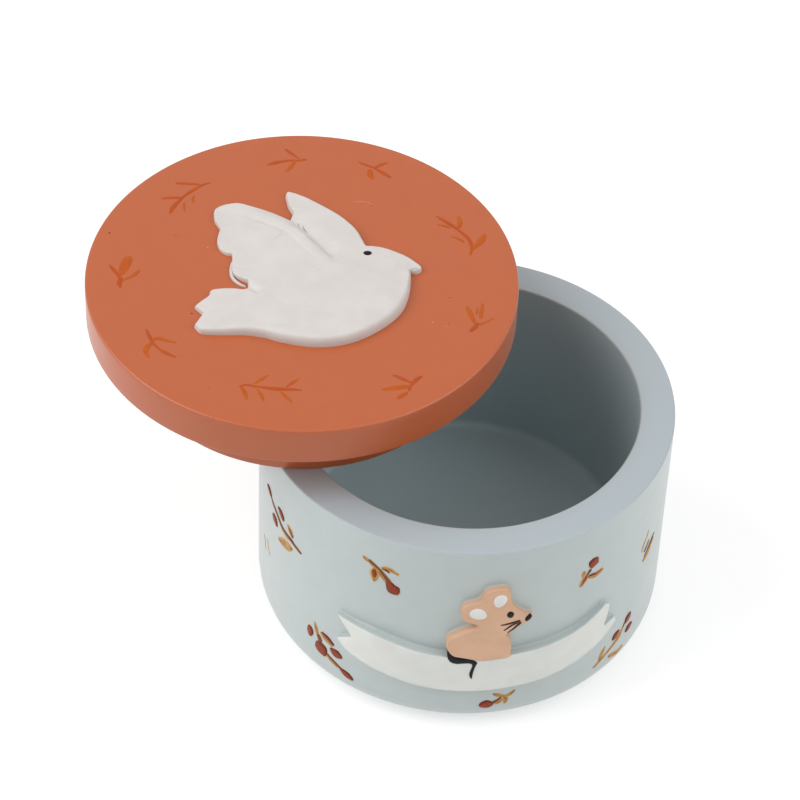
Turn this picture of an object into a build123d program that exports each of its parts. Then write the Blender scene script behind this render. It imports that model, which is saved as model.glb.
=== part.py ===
from build123d import *
import math
import os

# A round keepsake box for baby teeth: a cast, painted cup and a loose lid that lies askew on its rim.
# The origin is the centre of the box's underside, +Z is up and the decorated front faces -Y.
# All lengths are in millimetres.

# The box
box_radius = 35.0
box_height = 44.4
wall = 5.9
floor_thickness = 9.1
base_round = 7.0
rim_round = 0.7
bore_corner_round = 1.5

# The lid: a disc with a thick step below it that drops into the bore
lid_overhang = 1.2
lid_thickness = 7.1
lid_edge_round = 0.6
lid_foot_round = 0.25
step_clearance = 0.4
step_depth = 9.4
step_edge_round = 0.25

# Where the taken-off lid lies: its centre is over the wall, back and to the left
lid_left_shift = 28.8
lid_back_shift = 10.1
lid_rest_gap = 0.05

# Raised figures and painted ornament
figure_relief = 1.5
dove_length = 36.4
dove_relief = 2.0
dove_crown = 0.7
dove_reach_share = 0.6
paint_relief = 0.25
lid_stem_width = 0.75
lid_leaf_width = 1.25
side_stem_width = 0.7
side_leaf_width = 1.5
side_berry_radius = 1.25
whisker_width = 0.35
eye_width = 1.1
eye_height = 1.45
nose_width = 0.8
nose_height = 1.6
nose_lean_degrees = -30
inner_ear_width = 2.25
inner_ear_height = 2.8
overrun = 5.0

# Sizes that follow
bore_radius = box_radius - wall
lid_radius = box_radius + lid_overhang
step_radius = bore_radius - step_clearance
lid_underside = box_height + lid_rest_gap + step_depth
lid_top = lid_underside + lid_thickness
lid_place = Pos(-lid_left_shift, lid_back_shift, 0)
dove_reach = dove_length * dove_reach_share

# The dove's outline in shares of its length, from the lid's centre, as runs of points that meet
# at corners
dove_body_shares = [
    [(0.283, 0.205), (0.341, 0.203), (0.429, 0.177), (0.484, 0.148), (0.525, 0.114), (0.543, 0.091),
     (0.536, 0.077), (0.516, 0.062)],
    [(0.516, 0.062), (0.495, 0.066)],
    [(0.495, 0.066), (0.499, -0.003), (0.493, -0.104), (0.468, -0.198), (0.420, -0.275), (0.346, -0.352),
     (0.266, -0.409), (0.184, -0.444), (0.102, -0.457), (0.016, -0.453), (-0.069, -0.438), (-0.154, -0.415),
     (-0.234, -0.409), (-0.360, -0.420), (-0.434, -0.409), (-0.453, -0.382)],
    [(-0.453, -0.382), (-0.449, -0.360), (-0.426, -0.301)],
    [(-0.426, -0.301), (-0.463, -0.261)],
    [(-0.463, -0.261), (-0.448, -0.228), (-0.407, -0.176)],
    [(-0.407, -0.176), (-0.386, -0.141), (-0.299, -0.129), (-0.245, -0.121)],
    [(-0.245, -0.121), (-0.200, 0.000)],
    [(-0.200, 0.000), (0.110, 0.088)],
    [(0.110, 0.088), (0.283, 0.205)],
]
near_wing_shares = [
    [(-0.444, 0.393), (-0.407, 0.434), (-0.360, 0.451), (-0.321, 0.452), (-0.255, 0.431), (-0.184, 0.402),
     (-0.087, 0.353), (-0.008, 0.262), (0.069, 0.165), (0.110, 0.088)],
    [(0.110, 0.088), (0.107, 0.022), (0.041, -0.077), (-0.096, -0.111), (-0.245, -0.069)],
    [(-0.245, -0.069), (-0.298, -0.041), (-0.326, 0.011), (-0.328, 0.060), (-0.332, 0.107)],
    [(-0.332, 0.107), (-0.371, 0.117), (-0.405, 0.168), (-0.409, 0.236), (-0.404, 0.275)],
    [(-0.404, 0.275), (-0.433, 0.324), (-0.442, 0.363), (-0.444, 0.393)],
]
far_wing_shares = [
    [(-0.087, 0.353), (-0.076, 0.409)],
    [(-0.076, 0.409), (-0.104, 0.464), (-0.118, 0.548)],
    [(-0.118, 0.548), (-0.096, 0.549), (-0.033, 0.525), (0.038, 0.482), (0.132, 0.418), (0.190, 0.363),
     (0.232, 0.310), (0.258, 0.258), (0.283, 0.205)],
    [(0.283, 0.205), (0.110, 0.088)],
    [(0.110, 0.088), (-0.087, 0.353)],
]
near_wing_height_share = 0.85
dove_body_height_share = 0.95
far_wing_height_share = 0.7
dove_eye_shares = (0.290, 0.137)
dove_eye_radius_share = 0.016

# Outlines on the side: points are (distance round from the front in shares of the box's radius,
# height in shares of the box's height)
banner_middle_share = 0.145
banner_shares = [
    [(-0.560, 0.529), (-0.471, 0.521), (-0.369, 0.511), (-0.260, 0.495), (-0.140, 0.477), (-0.023, 0.468),
     (0.129, 0.466), (0.269, 0.468), (0.397, 0.474), (0.517, 0.486), (0.614, 0.503), (0.697, 0.535),
     (0.763, 0.569)],
    [(0.763, 0.569), (0.790, 0.550)],
    [(0.790, 0.550), (0.787, 0.505), (0.767, 0.438)],
    [(0.767, 0.438), (0.837, 0.453)],
    [(0.837, 0.453), (0.846, 0.418)],
    [(0.846, 0.418), (0.790, 0.376), (0.717, 0.347), (0.614, 0.318), (0.509, 0.300), (0.354, 0.284),
     (0.171, 0.274), (0.000, 0.273), (-0.157, 0.282), (-0.314, 0.304), (-0.463, 0.336), (-0.517, 0.354),
     (-0.564, 0.393)],
    [(-0.564, 0.393), (-0.483, 0.438)],
    [(-0.483, 0.438), (-0.560, 0.529)],
]
mouse_middle_share = 0.140
mouse_body_shares = [
    [(0.106, 0.637), (0.070, 0.611), (0.043, 0.597), (0.011, 0.580), (-0.010, 0.565), (-0.024, 0.532),
     (-0.020, 0.509), (-0.009, 0.484), (0.006, 0.468)],
    [(0.006, 0.468), (0.049, 0.461), (0.100, 0.449), (0.150, 0.444), (0.217, 0.447), (0.274, 0.455)],
    [(0.274, 0.455), (0.270, 0.473), (0.273, 0.505), (0.270, 0.541), (0.260, 0.565), (0.247, 0.586)],
    [(0.247, 0.586), (0.106, 0.637)],
]
mouse_head_shares = [
    [(0.106, 0.637), (0.149, 0.707), (0.271, 0.739)],
    [(0.271, 0.739), (0.291, 0.718), (0.310, 0.699), (0.327, 0.685), (0.346, 0.673), (0.363, 0.669),
     (0.371, 0.661), (0.370, 0.646), (0.360, 0.633), (0.331, 0.618), (0.277, 0.599), (0.247, 0.586)],
    [(0.247, 0.586), (0.106, 0.637)],
]
mouse_back_ear_shares = [
    [(0.106, 0.637), (0.071, 0.651), (0.049, 0.662), (0.033, 0.680), (0.029, 0.707), (0.031, 0.732),
     (0.059, 0.752), (0.117, 0.777)],
    [(0.117, 0.777), (0.174, 0.734)],
    [(0.174, 0.734), (0.106, 0.637)],
]
mouse_front_ear_shares = [
    [(0.117, 0.777), (0.133, 0.813), (0.157, 0.828), (0.203, 0.834), (0.231, 0.832), (0.250, 0.822),
     (0.259, 0.800), (0.271, 0.739)],
    [(0.271, 0.739), (0.174, 0.734)],
    [(0.174, 0.734), (0.117, 0.777)],
]
mouse_tail_shares = [
    [(-0.024, 0.505), (-0.021, 0.484), (-0.011, 0.459), (0.014, 0.439), (0.046, 0.432), (0.077, 0.435),
     (0.094, 0.431), (0.096, 0.417), (0.091, 0.396), (0.086, 0.374), (0.091, 0.354), (0.103, 0.342)],
    [(0.103, 0.342), (0.104, 0.374), (0.110, 0.401), (0.120, 0.428), (0.123, 0.441), (0.111, 0.453),
     (0.083, 0.458), (0.049, 0.459), (0.023, 0.466), (0.003, 0.482), (-0.011, 0.505)],
    [(-0.011, 0.505), (-0.024, 0.505)],
]
mouse_whisker_root_shares = (0.303, 0.644)
mouse_whisker_end_shares = [(0.214, 0.646), (0.229, 0.616), (0.250, 0.605)]
mouse_eye_shares = (0.257, 0.696)
mouse_nose_shares = (0.347, 0.650)
mouse_inner_ear_shares = [(0.109, 0.709), (0.206, 0.775)]

# The sprigs on the lid: strokes between points that are (distance round from the right in shares of
# the point's own radius, share of the way from the dove's reach to the lid's edge)
lid_stem_shares = [
    [(2.25, 0.45), (2.45, 0.42), (2.62, 0.36)], [(2.40, 0.70), (2.28, 0.50)],
    [(2.53, 0.60), (2.44, 0.43)],
    [(1.64, 0.56), (1.69, 0.51)],
    [(1.33, 0.65), (1.21, 0.60), (1.11, 0.53)],
    [(0.68, 0.40), (0.52, 0.50), (0.28, 0.50)],
    [(-0.35, 0.60), (-0.29, 0.58)],
    [(-0.80, 0.57), (-0.88, 0.64), (-0.99, 0.74)],
    [(-1.86, 0.41), (-1.74, 0.35), (-1.50, 0.34)], [(-1.79, 0.59), (-1.84, 0.41)],
    [(-1.73, 0.17), (-1.80, 0.36)], [(-1.70, 0.57), (-1.77, 0.37)],
    [(-1.52, 0.16), (-1.59, 0.31)], [(-1.55, 0.55), (-1.63, 0.35)],
    [(-2.60, 0.47), (-2.44, 0.52), (-2.31, 0.44)],
    [(-2.97, 0.60), (-3.03, 0.58)],
]
lid_leaf_shares = [
    [(1.86, 0.51), (1.69, 0.51)], [(1.74, 0.72), (1.69, 0.58)], [(1.75, 0.33), (1.70, 0.47)],
    [(1.24, 0.57), (1.18, 0.73)], [(1.24, 0.58), (1.21, 0.39)],
    [(0.60, 0.32), (0.56, 0.49)], [(0.61, 0.63), (0.54, 0.55)], [(0.47, 0.37), (0.39, 0.54)],
    [(0.43, 0.75), (0.34, 0.54)],
    [(-0.16, 0.44), (-0.30, 0.59)], [(-0.13, 0.60), (-0.28, 0.61)], [(-0.22, 0.77), (-0.32, 0.62)],
    [(-0.93, 0.40), (-0.87, 0.61)], [(-1.04, 0.54), (-0.91, 0.64)],
    [(-2.49, 0.47), (-2.41, 0.20)], [(-2.43, 0.72), (-2.49, 0.54)], [(-2.40, 0.69), (-2.48, 0.51)],
    [(3.14, 0.72), (3.26, 0.59)], [(3.06, 0.51), (3.24, 0.58)], [(-3.12, 0.39), (-3.04, 0.57)],
]

# The sprigs on the front half of the side, as on the figures: the sprig's middle, its stems,
# its leaves and its berries
front_sprig_shares = [
    (-1.01, [[(-1.18, 0.76), (-1.05, 0.716), (-0.99, 0.680), (-0.85, 0.660)]],
     [[(-1.04, 0.590), (-0.91, 0.645)], [(-0.98, 0.688), (-0.92, 0.727)]],
     [(-1.18, 0.759), (-1.03, 0.748), (-1.09, 0.658)]),
    (-0.37, [[(-0.45, 0.863), (-0.37, 0.838), (-0.31, 0.765)]],
     [[(-0.36, 0.850), (-0.27, 0.838)], [(-0.40, 0.826), (-0.40, 0.755)]],
     [(-0.30, 0.745)]),
    (-0.65, [[(-0.72, 0.345), (-0.71, 0.290), (-0.69, 0.250)], [(-0.64, 0.214), (-0.53, 0.164)]],
     [[(-0.69, 0.325), (-0.61, 0.285)], [(-0.77, 0.245), (-0.76, 0.310)]],
     [(-0.69, 0.225), (-0.59, 0.248), (-0.53, 0.162)]),
    (0.23, [[(0.21, 0.160), (0.27, 0.205)]],
     [[(0.28, 0.195), (0.22, 0.212)], [(0.28, 0.195), (0.33, 0.216)], [(0.28, 0.195), (0.29, 0.150)]],
     [(0.19, 0.153)]),
    (0.68, [[(0.69, 0.800), (0.66, 0.745)]],
     [[(0.64, 0.775), (0.65, 0.705)], [(0.66, 0.740), (0.75, 0.735)]],
     [(0.69, 0.806)]),
    (1.12, [[(1.07, 0.695), (1.14, 0.552)]],
     [[(1.14, 0.552), (1.22, 0.622)], [(1.14, 0.552), (1.08, 0.610)]],
     [(1.07, 0.700)]),
    (0.91, [[(0.77, 0.169), (0.88, 0.196), (1.01, 0.235)]],
     [[(0.79, 0.190), (0.84, 0.268)], [(0.85, 0.190), (0.98, 0.144)]],
     [(0.92, 0.266), (1.01, 0.304), (1.04, 0.236)]),
]

# One plain sprig about its own middle, which repeats round the rest of the side
plain_stem_shares = [[(-0.087, 0.045), (0.000, 0.005), (0.070, -0.055)]]
plain_leaf_shares = [[(-0.030, 0.020), (0.055, 0.048)], [(0.010, 0.000), (-0.040, -0.065)]]
plain_berry_shares = [(0.080, -0.075), (-0.105, 0.055)]
plain_sprig_place_shares = [
    (-1.25, 0.43), (1.65, 0.35), (2.05, 0.71), (2.52, 0.38), (3.00, 0.69), (3.47, 0.33), (3.96, 0.70),
    (4.48, 0.39),
]


def curved_outline(runs):
    """A flat face whose edge goes through each run of points, with a corner where two runs meet."""
    edges = Curve()
    for run in runs:
        if len(run) > 2:
            edges += Spline(*run)
        else:
            edges += Line(*run)
    return make_face(edges)


def leaf(base, tip, width):
    """A leaf with two bowed sides between its base and its tip."""
    start = Vector(*base)
    end = Vector(*tip)
    across = (end - start).rotate(Axis.Z, 90).normalized() * (width / 2)
    middle = (start + end) / 2
    left_side = ThreePointArc(start, middle + across, end)
    right_side = ThreePointArc(end, middle - across, start)
    return make_face(left_side + right_side)


def stem(points, width):
    """A stroke of even width with round ends along straight runs."""
    strokes = Sketch()
    for first, last in zip(points, points[1:]):
        start = Vector(*first)
        end = Vector(*last)
        run = end - start
        slot = SlotCenterToCenter(run.length, width, rotation=math.degrees(math.atan2(run.Y, run.X)))
        strokes += Pos((start.X + end.X) / 2, (start.Y + end.Y) / 2) * slot
    return strokes


def side_plane(turn):
    """An upright plane through the box's axis, seen from outside at this turn from the front."""
    return Plane(
        origin=(0, 0, 0),
        x_dir=(math.cos(turn), math.sin(turn), 0),
        z_dir=(math.sin(turn), -math.cos(turn), 0),
    )


def flat_point(place, middle, relief):
    """A place on the side as a point of the plane that faces the middle of its figure."""
    turn, height_share = place
    return ((box_radius + relief) * math.sin(turn - middle), height_share * box_height)


def flat_points(places, middle, relief):
    return [flat_point(place, middle, relief) for place in places]


def flat_runs(runs, middle, relief):
    return [flat_points(run, middle, relief) for run in runs]


def raised_on_side(face, middle, relief):
    """A figure that stands out of the box's round side by the relief."""
    height = box_height + overrun
    outer = Cylinder(box_radius + relief, height, align=(Align.CENTER, Align.CENTER, Align.MIN))
    inner = Cylinder(box_radius, height, align=(Align.CENTER, Align.CENTER, Align.MIN))
    block = extrude(side_plane(middle) * face, box_radius + relief + overrun)
    return block & (outer - inner)


def box_body():
    """The cup: a thick wall and floor with a large round at its foot."""
    upright = (Align.CENTER, Align.CENTER, Align.MIN)
    cup = Cylinder(box_radius, box_height, align=upright)
    cup = fillet(cup.edges().filter_by(GeomType.CIRCLE).sort_by(Axis.Z)[0], base_round)
    bore = Pos(0, 0, floor_thickness) * Cylinder(bore_radius, box_height, align=upright)
    bore = fillet(bore.edges().filter_by(GeomType.CIRCLE).sort_by(Axis.Z)[0], bore_corner_round)
    cup -= bore
    rims = cup.edges().filter_by(GeomType.CIRCLE).filter_by_position(Axis.Z, box_height, box_height)
    return fillet(rims, rim_round)


def lid_disc():
    disc = Cylinder(lid_radius, lid_thickness, align=(Align.CENTER, Align.CENTER, Align.MIN))
    disc = fillet(disc.edges().filter_by(GeomType.CIRCLE).sort_by(Axis.Z)[-1], lid_edge_round)
    disc = fillet(disc.edges().filter_by(GeomType.CIRCLE).sort_by(Axis.Z)[0], lid_foot_round)
    return lid_place * Pos(0, 0, lid_underside) * disc


def lid_step():
    """The round step under the disc, which keeps the closed lid centred in the bore."""
    step = Cylinder(step_radius, step_depth, align=(Align.CENTER, Align.CENTER, Align.MIN))
    step = fillet(step.edges().filter_by(GeomType.CIRCLE).sort_by(Axis.Z)[0], step_edge_round)
    return lid_place * Pos(0, 0, lid_underside - step_depth) * step


def dove_layer(shares, height_share):
    """A flat layer of the dove with this outline, up to this share of the dove's relief."""
    runs = [[(x * dove_length, y * dove_length) for x, y in run] for run in shares]
    return extrude(curved_outline(runs), dove_relief * height_share)


def dove_crown_cap():
    """A very large ball whose top rounds the dove, highest at the lid's centre."""
    half = dove_length / 2
    ball_radius = (half ** 2 + dove_crown ** 2) / (2 * dove_crown)
    return Pos(0, 0, dove_relief - ball_radius) * Sphere(ball_radius)


def dove():
    """The dove on the lid, as body, near wing, far wing and eye, each cut clear of the one above it."""
    cap = dove_crown_cap()
    near_wing = dove_layer(near_wing_shares, near_wing_height_share) & cap
    body = (dove_layer(dove_body_shares, dove_body_height_share) & cap) - near_wing
    far_wing = (dove_layer(far_wing_shares, far_wing_height_share) & cap) - near_wing - body
    eye_x, eye_y = dove_eye_shares
    eye_radius = dove_eye_radius_share * dove_length
    eye = Cylinder(eye_radius, dove_relief, align=(Align.CENTER, Align.CENTER, Align.MIN))
    eye = Pos(eye_x * dove_length, eye_y * dove_length, 0) * eye - body
    pieces = {"dove_body": body, "dove_near_wing": near_wing, "dove_far_wing": far_wing, "dove_eye": eye}
    return {name: lid_place * Pos(0, 0, lid_top) * piece for name, piece in pieces.items()}


def border_point(place):
    """A point in the lid's border, from a turn and a share of the way from the dove to the edge."""
    turn, border_share = place
    reach = dove_reach + border_share * (lid_radius - dove_reach)
    return (reach * math.cos(turn), reach * math.sin(turn))


def lid_sprigs():
    strokes = Sketch()
    for places in lid_stem_shares:
        strokes += stem([border_point(place) for place in places], lid_stem_width)
    for base, tip in lid_leaf_shares:
        strokes += leaf(border_point(base), border_point(tip), lid_leaf_width)
    return lid_place * Pos(0, 0, lid_top) * extrude(strokes, paint_relief)


def mouse_piece(shares, relief):
    face = curved_outline(flat_runs(shares, mouse_middle_share, relief))
    return raised_on_side(face, mouse_middle_share, relief)


def banner_and_mouse():
    """The ribbon on the front, and the mouse that sits on its upper edge."""
    body = mouse_piece(mouse_body_shares, figure_relief)
    head = mouse_piece(mouse_head_shares, figure_relief) - body
    front_ear = mouse_piece(mouse_front_ear_shares, figure_relief) - head
    back_ear = mouse_piece(mouse_back_ear_shares, figure_relief) - head - front_ear - body
    banner_face = curved_outline(flat_runs(banner_shares, banner_middle_share, figure_relief))
    banner = raised_on_side(banner_face, banner_middle_share, figure_relief) - body
    return {
        "banner": banner,
        "mouse_body": body,
        "mouse_head": head,
        "mouse_front_ear": front_ear,
        "mouse_back_ear": back_ear,
    }


def mouse_spot(place, width, height, lean_degrees=0):
    """A small oval on the mouse's face."""
    relief = figure_relief + paint_relief
    oval = Ellipse(width / 2, height / 2, rotation=lean_degrees)
    face = Pos(*flat_point(place, mouse_middle_share, relief)) * oval
    return raised_on_side(face, mouse_middle_share, relief)


def mouse_whiskers():
    relief = figure_relief + paint_relief
    root = flat_point(mouse_whisker_root_shares, mouse_middle_share, relief)
    strokes = Sketch()
    for end in flat_points(mouse_whisker_end_shares, mouse_middle_share, relief):
        strokes += stem([root, end], whisker_width)
    return raised_on_side(strokes, mouse_middle_share, relief)


def mouse_features(figures):
    """What is painted on the mouse: inner ears, eye, nose, whiskers and tail."""
    inner_ears = Part()
    for place in mouse_inner_ear_shares:
        inner_ears += mouse_spot(place, inner_ear_width, inner_ear_height)
    features = {
        "mouse_inner_ears": inner_ears,
        "mouse_eye": mouse_spot(mouse_eye_shares, eye_width, eye_height),
        "mouse_nose": mouse_spot(mouse_nose_shares, nose_width, nose_height, nose_lean_degrees),
        "mouse_whiskers": mouse_whiskers(),
        "mouse_tail": mouse_piece(mouse_tail_shares, figure_relief + paint_relief),
    }
    for name in features:
        for figure in figures.values():
            features[name] -= figure
    return features


def moved(places, shift):
    return [(turn + shift[0], height_share + shift[1]) for turn, height_share in places]


def plain_sprig(place):
    """The plain sprig, moved to its place on the side."""
    stems = [moved(places, place) for places in plain_stem_shares]
    leaves = [moved(places, place) for places in plain_leaf_shares]
    return (place[0], stems, leaves, moved(plain_berry_shares, place))


def raised_group(faces, covers, middle):
    """The solids of one sprig's strokes of one colour, joined where they cross, clear of the covers."""
    group = Part()
    for face in faces:
        group += raised_on_side(face, middle, paint_relief)
    for cover in covers:
        group -= cover
    return list(group.solids())


def side_ornament():
    """The sprigs round the side, sorted by colour: stems under leaves under berries."""
    stems = []
    leaves = []
    berries = []
    sprigs = front_sprig_shares + [plain_sprig(place) for place in plain_sprig_place_shares]
    for middle, stem_places, leaf_places, berry_places in sprigs:
        stem_runs = flat_runs(stem_places, middle, paint_relief)
        stem_strokes = [stem(points, side_stem_width) for points in stem_runs]
        leaf_runs = flat_runs(leaf_places, middle, paint_relief)
        leaf_blades = [leaf(base, tip, side_leaf_width) for base, tip in leaf_runs]
        berry_points = flat_points(berry_places, middle, paint_relief)
        berry_spots = [Pos(*point) * Circle(side_berry_radius) for point in berry_points]
        sprig_berries = raised_group(berry_spots, [], middle)
        sprig_leaves = raised_group(leaf_blades, sprig_berries, middle)
        stems += raised_group(stem_strokes, sprig_berries + sprig_leaves, middle)
        leaves += sprig_leaves
        berries += sprig_berries
    groups = {"side_stems": stems, "side_leaves": leaves, "side_berries": berries}
    return {name: Compound(solids) for name, solids in groups.items()}


def write_parts():
    figures = banner_and_mouse()
    parts = {
        "box_body": box_body(),
        "lid_disc": lid_disc(),
        "lid_step": lid_step(),
        "lid_sprigs": lid_sprigs(),
    }
    parts.update(dove())
    parts.update(figures)
    parts.update(mouse_features(figures))
    parts.update(side_ornament())
    os.makedirs("parts", exist_ok=True)
    for name, shape in parts.items():
        export_step(shape, f"parts/{name}.step")


write_parts()
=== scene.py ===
import math

import bpy
import numpy as np
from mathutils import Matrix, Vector, noise
from mathutils.geometry import delaunay_2d_cdt


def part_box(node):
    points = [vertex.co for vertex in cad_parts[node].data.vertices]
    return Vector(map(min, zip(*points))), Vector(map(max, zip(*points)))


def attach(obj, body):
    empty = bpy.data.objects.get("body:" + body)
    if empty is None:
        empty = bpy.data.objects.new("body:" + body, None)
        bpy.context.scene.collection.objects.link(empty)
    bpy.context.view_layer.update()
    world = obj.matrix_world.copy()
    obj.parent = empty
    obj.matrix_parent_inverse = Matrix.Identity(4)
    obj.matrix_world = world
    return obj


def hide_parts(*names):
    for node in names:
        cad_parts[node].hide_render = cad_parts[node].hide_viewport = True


# A hand-painted keepsake box for baby teeth: a cast cup and a loose lid that lies askew on it.
# Lengths are in millimetres and become metres where a mesh is made.

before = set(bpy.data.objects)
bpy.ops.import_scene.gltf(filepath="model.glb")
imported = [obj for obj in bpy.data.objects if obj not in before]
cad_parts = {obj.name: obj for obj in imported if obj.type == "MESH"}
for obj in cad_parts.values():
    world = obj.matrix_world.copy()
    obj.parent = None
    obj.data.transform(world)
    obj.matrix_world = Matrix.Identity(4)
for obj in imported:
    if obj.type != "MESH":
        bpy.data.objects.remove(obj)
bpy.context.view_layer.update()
metre_per_mm = 0.001


def node_box(name):
    """The lowest and highest corner of a node, in millimetres."""
    low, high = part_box(name)
    return Vector(low) / metre_per_mm, Vector(high) / metre_per_mm


# The cup
cup_high = node_box("box_body")[1]
cup_radius = cup_high.x
cup_height = cup_high.z
wall = 5.9
floor_thickness = 9.1
base_round = 7.0
rim_round = 0.35
bore_corner_round = 1.5

# The lid and the step under it
disc_low, disc_high = node_box("lid_disc")
step_low, step_high = node_box("lid_step")
lid_x = (disc_low.x + disc_high.x) / 2
lid_y = (disc_low.y + disc_high.y) / 2
lid_radius = (disc_high.x - disc_low.x) / 2
step_radius = (step_high.x - step_low.x) / 2
lid_top = disc_high.z
lid_edge_round = 0.4
lid_foot_round = 0.25
step_edge_round = 0.25

# The cast surface is uneven: its deepest dent, how close the dents lie, and where they fade
cast_unevenness = 0.05
dents_per_mm = 0.09
calm_radius = 10.0
columns_round = 288
arc_steps = 8
longest_run = 2.0

# How high paint stands, and how deep a figure is sunk into what it lies on
paint_relief = 0.10
lid_paint_relief = 0.05
dove_line_relief = 0.05
speck_relief = 0.03
dab_lift = 0.02
sunk = 0.12

# Colours
body_blue = (0.500, 0.562, 0.554)
terracotta = (0.447, 0.101, 0.029)
dove_white = (0.600, 0.566, 0.540)
# Greyed white for worn marks on the dove and for painted shade in its creases and under its beak
worn_and_shade_white = (0.480, 0.455, 0.420)
# Dark grey for scratches on the dove and for painted shade under its beak's hook
scratch_and_shade_grey = (0.300, 0.270, 0.230)
# Darker, cooler copy of the cup's paint for its rim's flat top: painted shade
shaded_rim_blue = (0.386, 0.435, 0.462)
# Darker, bluer copy of the cup's paint for the inside of its bore: painted shade
shaded_lining_blue = (0.432, 0.515, 0.535)
# Darker copy of the cup's paint for the bare sides of the ribbon and the mouse: painted shade
shaded_edge_blue = (0.440, 0.495, 0.490)
worn_brown = (0.300, 0.255, 0.215)
banner_white = (0.725, 0.737, 0.695)
mouse_tan = (0.695, 0.423, 0.268)
ear_white = (0.800, 0.780, 0.750)
ink_black = (0.006, 0.006, 0.007)
whisker_brown = (0.050, 0.022, 0.016)
stem_brown = (0.205, 0.074, 0.022)
edge_brown = (0.125, 0.044, 0.014)
ochre = (0.520, 0.290, 0.080)
pale_ochre = (0.640, 0.390, 0.140)
dark_ochre = (0.330, 0.130, 0.020)
brick_red = (0.250, 0.034, 0.012)
brick_orange = (0.310, 0.054, 0.012)
edge_red = (0.150, 0.024, 0.010)
burnt_red = (0.400, 0.068, 0.012)
burnt_orange = (0.440, 0.078, 0.012)
burnt_ochre = (0.450, 0.100, 0.012)
scratch_pink = (0.620, 0.220, 0.130)
speck_brown = (0.200, 0.050, 0.020)

# The camera's place and what it looks at, in metres, its tilt and its lens
camera_place = (0.0, -0.40154, 0.44666)
camera_target = (-0.01132, 0.0, 0.04345)
camera_roll_degrees = 2.495
camera_lens = 152.24
camera_sensor = 36.0


def add_object(name, data):
    made = bpy.data.objects.new(name, data)
    bpy.context.scene.collection.objects.link(made)
    return made


def aim(thing, place, target):
    """Set a camera or a lamp at its place and turn it to its target."""
    thing.location = place
    thing.rotation_euler = (Vector(target) - Vector(place)).to_track_quat("-Z", "Y").to_euler()


def place_camera():
    camera = add_object("camera", bpy.data.cameras.new("camera"))
    camera.data.lens = camera_lens
    camera.data.sensor_width = camera_sensor
    aim(camera, camera_place, camera_target)
    camera.rotation_euler.rotate_axis("Z", math.radians(camera_roll_degrees))
    bpy.context.scene.camera = camera


# Curves and surfaces
def smooth_run(points, spacing):
    """Points at this spacing on a smooth curve that goes through all the given ones."""
    given = np.array(points, float)
    before = 2 * given[0] - given[1]
    after = 2 * given[-1] - given[-2]
    knots = np.vstack([before, given, after])
    curve = []
    for a, b, c, d in zip(knots, knots[1:], knots[2:], knots[3:]):
        count = max(2, int(np.hypot(*(c - b)) / spacing))
        for step in range(count):
            t = step / count
            bend = 2 * a - 5 * b + 4 * c - d + t * (3 * (b - c) + d - a)
            curve.append(b + 0.5 * t * (c - a + t * bend))
    return np.array([*curve, given[-1]])


def closed_outline(runs, spacing, softening):
    """A closed line of runs that meet at corners. Each starts where the one before it ends."""
    starts = [run[-1] for run in runs[-1:] + runs[:-1]]
    line = np.vstack([smooth_run([start, *run], spacing)[:-1] for start, run in zip(starts, runs)])
    for _ in range(softening):
        line = (np.roll(line, 1, axis=0) + 2 * line + np.roll(line, -1, axis=0)) / 4
    return line


def on_lid(x, y, height):
    return (lid_x + x, lid_y + y, lid_top + height)


def side_radius(z):
    """The cup's outer radius at this height, smaller in the round at its foot."""
    if z >= base_round:
        return cup_radius
    return cup_radius - base_round + math.sqrt(max(0.0, base_round ** 2 - (base_round - z) ** 2))


def on_side(arc, z, height):
    """A place on the cup's side: the arc round from the front, the height above the floor, the relief."""
    turn = arc / cup_radius
    radius = side_radius(z) + height
    return (radius * math.sin(turn), -radius * math.cos(turn), z)


def make_piece(name, points, faces, slot, material, body, replaced=(), shares=None):
    """A smooth mesh of these points, in millimetres, which rides on a body."""
    mesh = bpy.data.meshes.new(name)
    mesh.from_pydata([Vector(point) * metre_per_mm for point in points], [], faces)
    mesh.polygons.foreach_set("use_smooth", [True] * len(mesh.polygons))
    for kind, values in (shares or {}).items():
        mesh.attributes.new(kind, "FLOAT", "POINT").data.foreach_set("value", values)
    mesh.validate()
    mesh.update()
    piece = add_object(name, mesh)
    mesh.materials.append(material)
    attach(piece, body)
    if replaced:
        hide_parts(*replaced)


# Turned shapes
def rounded_profile(corners):
    """A profile of (radius, height) points from corners of (radius, height, round)."""
    profile = [corners[0][:2]]
    for before, (radius, height, arc), after in zip(corners, corners[1:], corners[2:]):
        here = Vector((radius, height))
        back = (Vector(before[:2]) - here).normalized()
        ahead = (Vector(after[:2]) - here).normalized()
        centre = here + (back + ahead) * arc
        for step in range(arc_steps + 1):
            turn = math.pi / 2 * step / arc_steps
            profile.append(tuple(centre - ahead * arc * math.cos(turn) - back * arc * math.sin(turn)))
    profile.append(corners[-1][:2])
    return profile


def finely_divided(profile):
    """The profile with its long runs divided, so that a cast surface can be uneven there."""
    fine = [profile[0]]
    for start, end in zip(profile, profile[1:]):
        count = max(1, math.ceil(math.dist(start, end) / longest_run))
        for step in range(1, count + 1):
            share = step / count
            fine.append(tuple(first + (last - first) * share for first, last in zip(start, end)))
    return fine


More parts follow.
